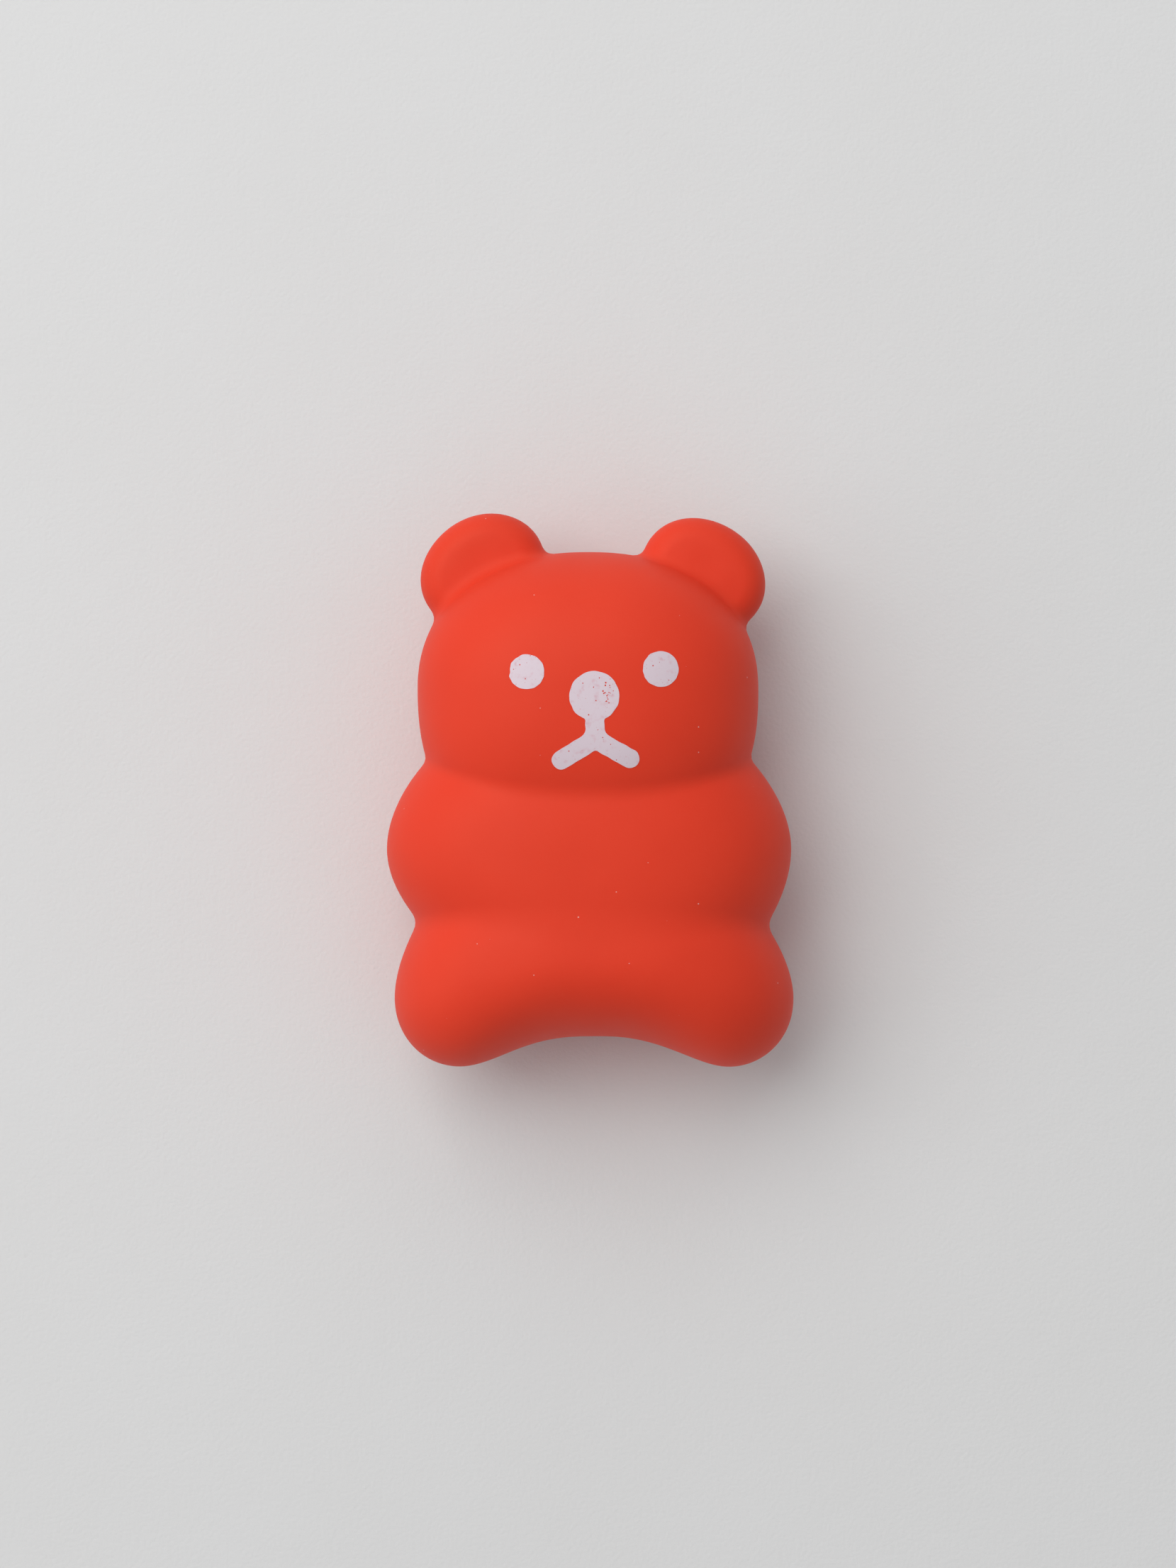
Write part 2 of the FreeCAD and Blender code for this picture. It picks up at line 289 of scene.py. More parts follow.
    def sole_line(self, share: np.ndarray) -> np.ndarray:
        """Y of the lower outline: an arch at the middle and a round foot on each side."""
        half_span, foot_radius = self.leg_span / 2, self.foot_width / 2
        foot_x = half_span - foot_radius
        x = share * half_span
        past = np.clip((x - foot_x) / foot_radius, 0.0, 1.0)
        foot = self.feet_y - self.foot_drop * np.sqrt(1 - past * past)
        t = np.minimum(x / foot_x, 1.0) ** self.arch_power
        arch = self.sole_y + self.arch_rise * (1 - t * t * (3 - 2 * t))
        return np.where(x > foot_x, foot, arch)

    def leg_level(self, p: np.ndarray) -> np.ndarray:
        """Level of the hips with both legs."""
        shift = self.leg_shift - self.hip_lean * np.maximum(p[:, 1] - self.feet_y, 0.0) ** 2
        share = np.abs(p[:, 0] - shift) / (self.leg_span / 2)
        inner = np.minimum(share, 0.99)
        middle = self.feet_y + self.hip_rise * (1 - inner * inner)
        left = 1 - inner**self.side_fullness
        up = self.leg_reach * self.widening(share, self.hip_reach)
        down = (middle - self.sole_line(inner)) / np.sqrt(left)
        rise = p[:, 1] - middle
        outline = share**self.side_fullness + (rise / np.where(rise > 0, up, down)) ** 2
        return self.swell(outline, p[:, 2], self.leg_front)

    def ear_distance(self, p: np.ndarray, side: Side) -> np.ndarray:
        """Distance to one ear: a thick oval with round edges and a shallow dish.

        Args:
            p: Places, one to a row.
            side: Which ear.

        Returns:
            Distances, negative inside.
        """
        turn = -side.value * self.ear_turn
        long = np.array([math.cos(turn), math.sin(turn)]) / self.ear_length
        broad = np.array([-math.sin(turn), math.cos(turn)]) / self.ear_breadth

        def outline(flat: np.ndarray) -> np.ndarray:
            """Level of the oval, -1 at its middle."""
            return np.hypot(flat @ long, flat @ broad) - 1

        droop = self.left_ear_droop if side is Side.LEFT else self.right_ear_droop
        x = self.ear_shift + side.value * self.ear_spread / 2
        q = p - np.array([x, self.ear_y - droop, self.middle_height])
        flat = q[:, :2]
        fall = self.ear_dome * (outline(flat) + 1) ** 2
        beyond_edge = distance(outline, flat) + self.ear_round
        beyond_face = np.abs(q[:, 2]) + fall - self.ear_half_thickness + self.ear_round
        corner = np.hypot(np.maximum(beyond_edge, 0.0), np.maximum(beyond_face, 0.0))
        inside = np.minimum(np.maximum(beyond_edge, beyond_face), 0.0)
        dish_height = self.ear_half_thickness - self.dish_depth + self.dish_curve
        middle = np.array([side.value * self.dish_out, self.dish_up, dish_height])
        dish = np.linalg.norm(q - middle, axis=1) - self.dish_curve
        return soft_cut(corner + inside - self.ear_round, dish, self.dish_edge)

    def body_distance(self, p: np.ndarray) -> np.ndarray:
        """Distance to the bear before it rests on the sheet."""
        whole = soft_union(
            distance(self.head_level, p), distance(self.torso_level, p), self.neck_blend
        )
        middle = np.clip(1 - (p[:, 0] / (self.leg_span / 2)) ** 2, 0.0, 1.0) ** 2
        waist = self.waist_blend + (self.belly_blend - self.waist_blend) * middle
        whole = soft_union(whole, distance(self.leg_level, p), waist)
        for side in Side:
            whole = soft_union(whole, self.ear_distance(p, side), self.ear_blend)
        uneven = ripple(p, self.unevenness_length, self.unevenness_seed) - 1.0
        return whole + self.unevenness * uneven

    def outside(self, p: np.ndarray) -> np.ndarray:
        """Distance to the skin's outside, flattened where it rests on the sheet."""
        return soft_cut(self.body_distance(p), p[:, 2], self.rest_blend)

    def drop_to_front(self, xy: np.ndarray) -> np.ndarray:
        """Finds the height of the face over each place of the sheet.

        Args:
            xy: Places, one to a row.

        Returns:
            The heights.
        """
        start = self.middle_height + self.head_front
        p = np.column_stack([xy, np.full(len(xy), start)])
        for _ in range(self.drop_rounds):
            value = self.outside(p)
            moved = p.copy()
            moved[:, 2] += PROBE
            slope = (self.outside(moved) - value) / PROBE
            p[:, 2] -= value / np.maximum(slope, self.least_slope)
        return p[:, 2]


# ---- Meshing ---------------------------------------------------------------------------
def surface_net(field: Field, low: np.ndarray, high: np.ndarray, cell: float) -> tuple:
    """Quads over the surface where a field is zero, one vertex to each cell it crosses.

    Args:
        field: The field, negative inside.
        low: Lowest corner of the grid.
        high: Highest corner of the grid.
        cell: Size of a cell.

    Returns:
        The vertices and the quads, whose normals point out.
    """
    counts = np.ceil((high - low) / cell).astype(int) + 1
    axes = [low[i] + cell * np.arange(counts[i]) for i in range(3)]
    grid = np.stack(np.meshgrid(*axes, indexing="ij"), axis=-1).reshape(-1, 3)
    inside = (field(grid) < 0).reshape(counts)
    corners = np.zeros(counts - 1, int)
    for i in (0, 1):
        for j in (0, 1):
            for k in (0, 1):
                ends = [slice(n, count - 1 + n) for n, count in zip((i, j, k), counts)]
                corners += inside[tuple(ends)]
    crossed = (corners > 0) & (corners < 8)
    index = np.full(counts - 1, -1)
    index[crossed] = np.arange(crossed.sum())
    vertices = low + (np.argwhere(crossed) + 0.5) * cell
    quads = []
    for axis in range(3):
        u, v = (axis + 1) % 3, (axis + 2) % 3
        first = np.moveaxis(inside, axis, 0)[:-1]
        second = np.moveaxis(inside, axis, 0)[1:]
        places = np.argwhere(np.moveaxis(first != second, 0, axis))
        leaving = np.moveaxis(first & ~second, 0, axis)[tuple(places.T)]
        steps = np.zeros((4, 3), int)
        steps[[0, 3], u] = -1
        steps[[0, 1], v] = -1
        around = places[:, None, :] + steps[None]
        ring = index[around[..., 0], around[..., 1], around[..., 2]]
        ring[~leaving] = ring[~leaving][:, ::-1]
        quads.append(ring)
    return vertices, np.concatenate(quads)


def settle(field: Field, vertices: np.ndarray, limit: float, rounds: int = 3) -> np.ndarray:
    """Moves vertices onto the surface where a field is zero.

    Args:
        field: The field.
        vertices: Their places, one to a row.
        limit: Longest step of a round.
        rounds: How often each vertex moves.

    Returns:
        The new places.
    """
    p = vertices.copy()
    for _ in range(rounds):
        value = field(p)
        rise = slopes(field, p, value)
        step = rise * (value / ((rise * rise).sum(axis=1) + TINY))[:, None]
        length = np.linalg.norm(step, axis=1, keepdims=True)
        p -= step * np.minimum(1.0, limit / np.maximum(length, TINY))
    return p


def relax(vertices: np.ndarray, quads: np.ndarray, share: float = 0.5) -> np.ndarray:
    """Moves each vertex part of the way to the middle of its neighbours.

    Args:
        vertices: Their places, one to a row.
        quads: The faces.
        share: How far of the way.

    Returns:
        The new places.
    """
    total = np.zeros_like(vertices)
    count = np.zeros(len(vertices))
    for a, b in ((0, 1), (1, 2), (2, 3), (3, 0)):
        for start, end in ((a, b), (b, a)):
            np.add.at(total, quads[:, start], vertices[quads[:, end]])
            np.add.at(count, quads[:, start], 1)
    middle = total / np.maximum(count, 1)[:, None]
    return vertices + share * (middle - vertices)


def smooth_surface(field: Field, low: np.ndarray, high: np.ndarray, cell: float) -> tuple:
    """An even, smooth mesh of the surface where a field is zero.

    Args:
        field: The field, negative inside.
        low: Lowest corner of the space that holds the surface.
        high: Highest corner.
        cell: Size of a face.

    Returns:
        The vertices and the quads.
    """
    vertices, quads = surface_net(field, low, high, cell)
    vertices = settle(field, vertices, cell)
    for _ in range(3):
        vertices = settle(field, relax(vertices, quads), cell / 2, 1)
    return settle(field, vertices, cell / 2, 2), quads


def mesh_object(name: str, vertices: np.ndarray, faces: np.ndarray) -> bpy.types.Object:
    """Makes a smooth-shaded mesh object.

    Args:
        name: The object's name.
        vertices: Places, one to a row.
        faces: Vertex numbers, one face to a row.

    Returns:
        The object, linked to the scene.
    """
    mesh = bpy.data.meshes.new(name)
    mesh.from_pydata(vertices.tolist(), [], faces.tolist())
    mesh.validate()
    mesh.shade_smooth()
    obj = bpy.data.objects.new(name, mesh)
    bpy.context.scene.collection.objects.link(obj)
    return obj


def coat(obj: bpy.types.Object, finish: bpy.types.Material) -> None:
    """Gives an object one finish, in place of any that it had."""
    obj.data.materials.clear()
    obj.data.materials.append(finish)


def apply_modifiers(obj: bpy.types.Object) -> None:
    """Bakes an object's modifiers into its mesh."""
    bpy.context.view_layer.update()
    graph = bpy.context.evaluated_depsgraph_get()
    final = bpy.data.meshes.new_from_object(obj.evaluated_get(graph))
    obj.modifiers.clear()
    obj.data = final


def lathe(
    name: str, profile: list[tuple[float, float]], centre: Vector, turns: int = 96
) -> bpy.types.Object:
    """Turns a profile about an upright axis.

    Args:
        name: The object's name.
        profile: Radius and height of each point, from the axis round to the axis.
        centre: A point of the axis, at height 0.
        turns: Steps in a full turn.

    Returns:
        The object.
    """
    angles = 2 * math.pi * np.arange(turns) / turns
    radius, height = np.array(profile).T
    x = centre.x + np.outer(np.cos(angles), radius[1:-1])
    y = centre.y + np.outer(np.sin(angles), radius[1:-1])
    z = np.broadcast_to(height[1:-1] + centre.z, x.shape)
    rows = len(profile) - 2
    vertices = np.stack([x, y, z], axis=-1).reshape(-1, 3)
    caps = np.array([[centre.x, centre.y, h + centre.z] for h in (height[0], height[-1])])
    faces = []
    for i in range(turns):
        j = (i + 1) % turns
        for k in range(rows - 1):
            faces.append([i * rows + k, j * rows + k, j * rows + k + 1, i * rows + k + 1])
    bottom, top = len(vertices), len(vertices) + 1
    mesh = bpy.data.meshes.new(name)
    for i in range(turns):
        j = (i + 1) % turns
        faces.append([bottom, j * rows, i * rows])
        faces.append([top, (i + 1) * rows - 1, (j + 1) * rows - 1])
    mesh.from_pydata(np.vstack([vertices, caps]).tolist(), [], faces)
    obj = bpy.data.objects.new(name, mesh)
    bpy.context.scene.collection.objects.link(obj)
    return obj


# ---- Shader building -------------------------------------------------------------------
class Wiring:
    """Adds nodes to a shader tree and joins them, from left to right."""

    def __init__(self, tree: bpy.types.NodeTree) -> None:
        """Starts wiring in a tree."""
        self.tree = tree

    def add(self, kind: str, settings: dict | None = None, **sockets: object) -> bpy.types.Node:
        """Adds a node.

        Args:
            kind: The node's type, without "ShaderNode".
            settings: Properties of the node.
            **sockets: Values or output sockets for its inputs, with _ for a space.

        Returns:
            The node.
        """
        node = self.tree.nodes.new(f"ShaderNode{kind}")
        node.location.x = 200 * len(self.tree.nodes)
        for key, value in (settings or {}).items():
            setattr(node, key, value)
        for key, value in sockets.items():
            self.feed(node.inputs[key.replace("_", " ")], value)
        return node

    def feed(self, socket: bpy.types.NodeSocket, value: object) -> None:
        """Sets an input socket, or joins it to an output socket."""
        if isinstance(value, bpy.types.NodeSocket):
            self.tree.links.new(value, socket)
        else:
            socket.default_value = value

    def place(self, made: bpy.types.NodeTree, **sockets: object) -> bpy.types.Node:
        """Places a node group.

        Args:
            made: The group.
            **sockets: Values or output sockets for its inputs, with _ for a space.

        Returns:
            The group's node.
        """
        node = self.add("Group", {"node_tree": made})
        for key, value in sockets.items():
            self.feed(node.inputs[key.replace("_", " ")], value)
        return node

    def maths(self, operation: str, *values: object) -> bpy.types.NodeSocket:
        """Adds a Math node and returns its result."""
        node = self.add("Math", {"operation": operation})
        for socket, value in zip(node.inputs, values):
            self.feed(socket, value)
        return node.outputs[0]

    def ramp(self, value: object, low: float, high: float) -> bpy.types.NodeSocket:
        """A smooth step from 0 at low to 1 at high."""
        node = self.add("MapRange", {"interpolation_type": "SMOOTHSTEP"}, Value=value)
        node.inputs["From Min"].default_value = low
        node.inputs["From Max"].default_value = high
        return node.outputs["Result"]

    def mix(self, share: object, first: object, second: object) -> bpy.types.NodeSocket:
        """Mixes two colours and returns the result."""
        node = self.add("Mix", {"data_type": "RGBA"})
        self.feed(node.inputs[0], share)
        for socket, value in ((node.inputs[6], first), (node.inputs[7], second)):
            self.feed(socket, (*value, 1.0) if isinstance(value, tuple) else value)
        return node.outputs[2]

    def shape(self, bsdf: bpy.types.Node, height: object, strength: float, depth: float) -> None:
        """Lets a height field tilt the normal that a shader sees."""
        bump = self.add("Bump", Height=height, Strength=strength, Distance=depth)
        self.feed(bsdf.inputs["Normal"], bump.outputs["Normal"])


def new_group(name: str, inputs: dict[str, float], outputs: tuple[str, ...]) -> tuple:
    """Starts a shader node group with named number sockets.

    Args:
        name: The group's name.
        inputs: Each input with its usual value.
        outputs: The outputs.

    Returns:
        The group, its wiring, its input node and its output node.
    """
    made = bpy.data.node_groups.new(name, "ShaderNodeTree")
    for key, value in inputs.items():
        socket = made.interface.new_socket(key, in_out="INPUT", socket_type="NodeSocketFloat")
        socket.default_value = value
    for key in outputs:
        made.interface.new_socket(key, in_out="OUTPUT", socket_type="NodeSocketFloat")
    entry, leave = made.nodes.new("NodeGroupInput"), made.nodes.new("NodeGroupOutput")
    return made, Wiring(made), entry, leave


class Effects:
    """The surface effects that several finishes share, each a node group built once."""

    def __init__(self) -> None:
        """Builds every group."""
        self.grain = self.make_grain()
        self.mottle = self.make_mottle()
        self.specks = self.make_specks()

    @staticmethod
    def make_grain() -> bpy.types.NodeTree:
        """A fine grain with a coarser unevenness under it. Returns the group."""
        made, wires, entry, leave = new_group(
            "Fine grain", {"Scale": 3000.0, "Coarse share": 0.3}, ("Height",)
        )
        where = wires.add("TexCoord").outputs["Object"]
        fine = wires.add("TexNoise", Vector=where, Scale=entry.outputs["Scale"], Detail=3.0)
        slower = wires.maths("MULTIPLY", entry.outputs["Scale"], 0.13)
        coarse = wires.add("TexNoise", Vector=where, Scale=slower, Detail=2.0)
        weight = wires.maths("MULTIPLY", coarse.outputs[0], entry.outputs["Coarse share"])
        height = wires.maths("ADD", fine.outputs[0], weight)
        wires.feed(leave.inputs["Height"], height)
        return made

    @staticmethod
    def make_mottle() -> bpy.types.NodeTree:
        """Slow, cloudy change between 0 and 1. Returns the group."""
        made, wires, entry, leave = new_group(
            "Cloudy mottle", {"Scale": 60.0, "Contrast": 0.3}, ("Amount",)
        )
        where = wires.add("TexCoord").outputs["Object"]
        cloud = wires.add("TexNoise", Vector=where, Scale=entry.outputs["Scale"], Detail=4.0)
        centred = wires.maths("SUBTRACT", cloud.outputs[0], 0.5)
        spread = wires.maths("MULTIPLY_ADD", centred, entry.outputs["Contrast"], 0.5)
        wires.feed(leave.inputs["Amount"], spread)
        return made

    @staticmethod
    def make_specks() -> bpy.types.NodeTree:
        """Scattered round specks, few and small. Returns the group."""
        made, wires, entry, leave = new_group(
            "Specks", {"Scale": 300.0, "Size": 0.1, "Share": 0.1}, ("Mask",)
        )
        where = wires.add("TexCoord").outputs["Object"]
        cells = wires.add("TexVoronoi", Vector=where, Scale=entry.outputs["Scale"])
        drawn = wires.add("SeparateColor", Color=cells.outputs["Color"])
        size = wires.maths("MULTIPLY", drawn.outputs[1], entry.outputs["Size"])
        shape = wires.maths("LESS_THAN", cells.outputs["Distance"], size)
        chosen = wires.maths("LESS_THAN", drawn.outputs[0], entry.outputs["Share"])
        wires.feed(leave.inputs["Mask"], wires.maths("MULTIPLY", shape, chosen))
        return made


def new_material(name: str) -> tuple:
    """Starts a material.

    Args:
        name: The material's name.

    Returns:
        The material, its wiring and its Principled BSDF.
    """
    material = bpy.data.materials.new(name)
    material.use_nodes = True
    bsdf = material.node_tree.nodes["Principled BSDF"]
    return material, Wiring(material.node_tree), bsdf


@dataclass(frozen=True)
class SoftVinyl:
    """The skin: soft vinyl with a fine satin grain and a little dust."""

    colour: Colour = (0.803, 0.0515, 0.0215)
    deep_colour: Colour = (0.748, 0.0430, 0.0180)
    gloss_tint: Colour = (1.0, 0.80, 0.62)
    dust_colour: Colour = (0.85, 0.62, 0.58)
    roughness: float = 0.56
    specular: float = 0.26
    grain_depth: float = 0.035 * MM
    grain_strength: float = 0.35
    dust_strength: float = 0.55
    glow: float = 0.12  # share of the light that scatters under the surface
    glow_spread: Colour = (1.0, 0.25, 0.12)
    glow_depth: float = 1.5 * MM
    patchiness: float = 0.16  # change of the roughness from patch to patch

    def build(self, effects: Effects) -> bpy.types.Material:
        """Builds the material.

        Args:
            effects: The shared effects.

        Returns:
            The material.
        """
        material, wires, bsdf = new_material("Soft vinyl")
        mottle = wires.place(effects.mottle, Scale=70.0, Contrast=0.9).outputs["Amount"]
        colour = wires.mix(mottle, self.colour, self.deep_colour)
        dust = wires.place(effects.specks, Scale=900.0, Size=0.13, Share=0.04)
        haze = wires.maths("MULTIPLY", dust.outputs["Mask"], self.dust_strength)
        colour = wires.mix(haze, colour, self.dust_colour)
        wires.feed(bsdf.inputs["Base Color"], colour)
        patches = wires.place(effects.mottle, Scale=160.0, Contrast=0.5).outputs["Amount"]
        smoothest = self.roughness - self.patchiness / 2
        rough = wires.maths("MULTIPLY_ADD", patches, self.patchiness, smoothest)
        wires.feed(bsdf.inputs["Roughness"], rough)
        grain = wires.place(effects.grain, Scale=2600.0, Coarse_share=0.5).outputs["Height"]
        wires.shape(bsdf, grain, self.grain_strength, self.grain_depth)
        bsdf.inputs["Specular IOR Level"].default_value = self.specular
        bsdf.inputs["Specular Tint"].default_value = (*self.gloss_tint, 1.0)
        bsdf.inputs["Subsurface Weight"].default_value = self.glow
        bsdf.inputs["Subsurface Radius"].default_value = self.glow_spread
        bsdf.inputs["Subsurface Scale"].default_value = self.glow_depth
        return material


@dataclass(frozen=True)
class PadInk:
    """The face print: a thin pale ink that lets a little of the skin's red through."""

    colour: Colour = (0.705, 0.595, 0.66)
    thin_colour: Colour = (0.66, 0.42, 0.48)
    speck_colour: Colour = (0.55, 0.16, 0.14)
    speck_strength: float = 0.32
    roughness: float = 0.62
    cloudiness: float = 0.12
    grain_depth: float = 0.02 * MM
    grain_strength: float = 0.4

    def build(self, effects: Effects) -> bpy.types.Material:
        """Builds the material.

        Args:
            effects: The shared effects.

        Returns:
            The material.
        """
        material, wires, bsdf = new_material("Pad-printed ink")
        cloud = wires.place(effects.mottle, Scale=900.0, Contrast=2.4).outputs["Amount"]
        colour = wires.mix(wires.ramp(cloud, 0.55, 1.3), self.colour, self.thin_colour)
        dots = wires.place(effects.specks, Scale=3200.0, Size=0.36, Share=0.2)
        dotted = wires.maths("MULTIPLY", dots.outputs["Mask"], self.speck_strength)
        colour = wires.mix(dotted, colour, self.speck_colour)
        wires.feed(bsdf.inputs["Base Color"], colour)
        smoothest = self.roughness - self.cloudiness / 2
        rough = wires.maths("MULTIPLY_ADD", cloud, self.cloudiness, smoothest)
        wires.feed(bsdf.inputs["Roughness"], rough)
        grain = wires.place(effects.grain, Scale=5200.0, Coarse_share=0.8).outputs["Height"]
        wires.shape(bsdf, grain, self.grain_strength, self.grain_depth)
        return material


@dataclass(frozen=True)
class MouldedPlastic:
    """The squeaker's own pieces: natural, slightly cloudy moulded plastic."""

    colour: Colour = (0.83, 0.82, 0.76)
    worn_colour: Colour = (0.66, 0.62, 0.54)
    soil_colour: Colour = (0.32, 0.28, 0.24)
    soil_strength: float = 0.5
    roughness: float = 0.34
    wear: float = 0.2  # change of the roughness
    grain_depth: float = 0.03 * MM
    grain_strength: float = 0.25
    glow: float = 0.2
    glow_spread: Colour = (1.0, 0.9, 0.7)
    glow_depth: float = 1.0 * MM

    def build(self, effects: Effects) -> bpy.types.Material:
        """Builds the material.

        Args:
            effects: The shared effects.

        Returns:
            The material.
        """
        material, wires, bsdf = new_material("Natural moulded plastic")
        mottle = wires.place(effects.mottle, Scale=420.0, Contrast=1.4).outputs["Amount"]
        colour = wires.mix(mottle, self.colour, self.worn_colour)
        specks = wires.place(effects.specks, Scale=900.0, Size=0.2, Share=0.05)
        soiled = wires.maths("MULTIPLY", specks.outputs["Mask"], self.soil_strength)
        wires.feed(bsdf.inputs["Base Color"], wires.mix(soiled, colour, self.soil_colour))
        smoothest = self.roughness - self.wear / 2
        rough = wires.maths("MULTIPLY_ADD", mottle, self.wear, smoothest)
        wires.feed(bsdf.inputs["Roughness"], rough)
        grain = wires.place(effects.grain, Scale=1800.0, Coarse_share=0.6).outputs["Height"]
        wires.shape(bsdf, grain, self.grain_strength, self.grain_depth)
        bsdf.inputs["Subsurface Weight"].default_value = self.glow
        bsdf.inputs["Subsurface Radius"].default_value = self.glow_spread
        bsdf.inputs["Subsurface Scale"].default_value = self.glow_depth
        return material


@dataclass(frozen=True)
class RolledBrass:
    """The reed: thin rolled brass strip with marks along its length."""

    colour: Colour = (0.72, 0.50, 0.22)
    dull_colour: Colour = (0.48, 0.33, 0.16)
    smoothest: float = 0.2  # least roughness, between the marks
    streaking: float = 0.25  # how much rougher the marks are
    mark_pitch: tuple[float, float, float] = (9000.0, 9000.0, 250.0)
    mark_depth: float = 0.01 * MM
    mark_strength: float = 0.3

    def build(self, effects: Effects) -> bpy.types.Material:
        """Builds the material.

        Args:
            effects: The shared effects.

        Returns:
            The material.
        """
        material, wires, bsdf = new_material("Rolled brass strip")
        mottle = wires.place(effects.mottle, Scale=700.0, Contrast=1.6).outputs["Amount"]
        wires.feed(bsdf.inputs["Base Color"], wires.mix(mottle, self.colour, self.dull_colour))
        where = wires.add("TexCoord").outputs["Object"]
        drawn = wires.add("Mapping", Vector=where, Scale=self.mark_pitch)
        marks = wires.add("TexNoise", Vector=drawn.outputs[0], Scale=1.0, Detail=2.0)
        rough = wires.maths("MULTIPLY_ADD", marks.outputs[0], self.streaking, self.smoothest)
        wires.feed(bsdf.inputs["Roughness"], rough)
        wires.shape(bsdf, marks.outputs[0], self.mark_strength, self.mark_depth)
        bsdf.inputs["Metallic"].default_value = 1.0
        return material


@dataclass(frozen=True)
class PaperSheet:
    """The ground: pale matt paper with a fine tooth and a few flecks."""

    colour: Colour = (0.742, 0.747, 0.750)
    warm_colour: Colour = (0.728, 0.729, 0.727)
    fleck_colour: Colour = (0.45, 0.45, 0.45)
    fleck_strength: float = 0.35
    tooth_depth: float = 0.14 * MM
    tooth_strength: float = 0.5
    roughness: float = 0.85
    specular: float = 0.25

    def build(self, effects: Effects) -> bpy.types.Material:
        """Builds the material.

        Args:
            effects: The shared effects.

        Returns:
            The material.
        """
        material, wires, bsdf = new_material("Pale paper")
        mottle = wires.place(effects.mottle, Scale=24.0, Contrast=1.2).outputs["Amount"]
        colour = wires.mix(mottle, self.colour, self.warm_colour)
        flecks = wires.place(effects.specks, Scale=55.0, Size=0.035, Share=0.06)
        seen = wires.maths("MULTIPLY", flecks.outputs["Mask"], self.fleck_strength)
        wires.feed(bsdf.inputs["Base Color"], wires.mix(seen, colour, self.fleck_colour))
        grain = wires.place(effects.grain, Scale=1300.0, Coarse_share=0.9).outputs["Height"]
        wires.shape(bsdf, grain, self.tooth_strength, self.tooth_depth)
        bsdf.inputs["Roughness"].default_value = self.roughness
        bsdf.inputs["Specular IOR Level"].default_value = self.specular
        return material


# ---- The toy ---------------------------------------------------------------------------
@dataclass
class Press:
    """How far the soft front goes in when the toy is squeezed."""

    joint: str = "front_press"

    def __post_init__(self) -> None:
        """Reads the joint's travel and the toy's height from the frame."""
        found = next(j for j in frame["joints"] if j["name"] == self.joint)
        self.travel = found["range_m"][1]
        self.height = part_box("body_skin")[1][2]
        self.keep = 1 - self.travel / self.height

    def squash_skin(self, obj: bpy.types.Object) -> None:
        """Gives the skin a mesh of its own; it does not flatten the skin as the front goes in.
        """
        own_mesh(obj)

    def squash_print(self, obj: bpy.types.Object) -> None:
        """Gives a print, which already travels with the face, a mesh of its own."""
        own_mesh(obj)


@dataclass
class Skin:
    """The hollow skin, with the seat for the squeaker in its back."""

    form: BearForm
    wall: float = 2.0 * MM
    cell: float = 0.8 * MM
    inner_cell: float = 1.5 * MM
    collar_wall: float = 3.0 * MM
    collar_height: float = 7.0 * MM
    fit: float = 0.05 * MM  # room round the squeaker
    flange_step: float = 1.5 * MM  # from the squeaker's flange in to its tube
    flange_seat: float = 1.4 * MM  # depth of the recess over the flange
    cavity_blend: float = 0.8 * MM
    cut_margin: float = 2.0 * MM
    crease_angle: float = math.radians(50.0)

    def __post_init__(self) -> None:
        """Finds the squeaker's seat from the squeaker itself."""
        low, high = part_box("squeaker_tube")
        self.axis = Vector(((low[0] + high[0]) / 2, (low[1] + high[1]) / 2, 0.0))
        self.flange_radius = (high[0] - low[0]) / 2 + self.fit
        self.bore_radius = self.flange_radius - self.fit - self.flange_step
        self.flange_top = low[2] + self.flange_seat

    def cavity(self, p: np.ndarray) -> np.ndarray:
        """Distance to the air space inside, which goes round the collar."""
        hollow = np.maximum(self.form.body_distance(p) + self.wall, self.wall - p[:, 2])
        radial = np.hypot(p[:, 0] - self.axis.x, p[:, 1] - self.axis.y)
        radial = radial - self.bore_radius - self.collar_wall
        collar = np.maximum(radial, p[:, 2] - self.collar_height)
        return soft_cut(hollow, collar, self.cavity_blend)

    def build(self) -> bpy.types.Object:
        """Meshes the outside and the air space, and bores the seat.

        Returns:
            The skin.
        """
        margin = 2 * self.cell
        low, high = np.array(self.form.low) - margin, np.array(self.form.high) + margin
        outer, outer_quads = smooth_surface(self.form.outside, low, high, self.cell)
        inner, inner_quads = smooth_surface(self.cavity, low, high, self.inner_cell)
        vertices = np.vstack([outer, inner])
        quads = np.vstack([outer_quads, inner_quads[:, ::-1] + len(outer)])
        skin = mesh_object("Vinyl_skin", vertices, quads)
        self.bore(skin)
        return skin

    def bore(self, skin: bpy.types.Object) -> None:
        """Cuts the squeaker's bore and the recess for its flange."""
        below, above = -self.cut_margin, self.collar_height + self.cut_margin
        profile = [
            (0.0, below),
            (self.flange_radius, below),
            (self.flange_radius, self.flange_top),
            (self.bore_radius, self.flange_top),
            (self.bore_radius, above),
            (0.0, above),
        ]
        cutter = lathe("seat_cutter", profile, self.axis)
        cut = skin.modifiers.new("seat", "BOOLEAN")
        cut.operation, cut.solver, cut.object = "DIFFERENCE", "EXACT", cutter
        apply_modifiers(skin)
        bpy.data.objects.remove(cutter)
        skin.data.shade_smooth()
        skin.data.set_sharp_from_angle(angle=self.crease_angle)

    def dress(self, skin: bpy.types.Object, finish: bpy.types.Material, press: Press) -> None:
        """Gives the skin its finish and its place in the frame."""
        coat(skin, finish)
        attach(skin, "body")
        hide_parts("body_skin")
        press.squash_skin(skin)


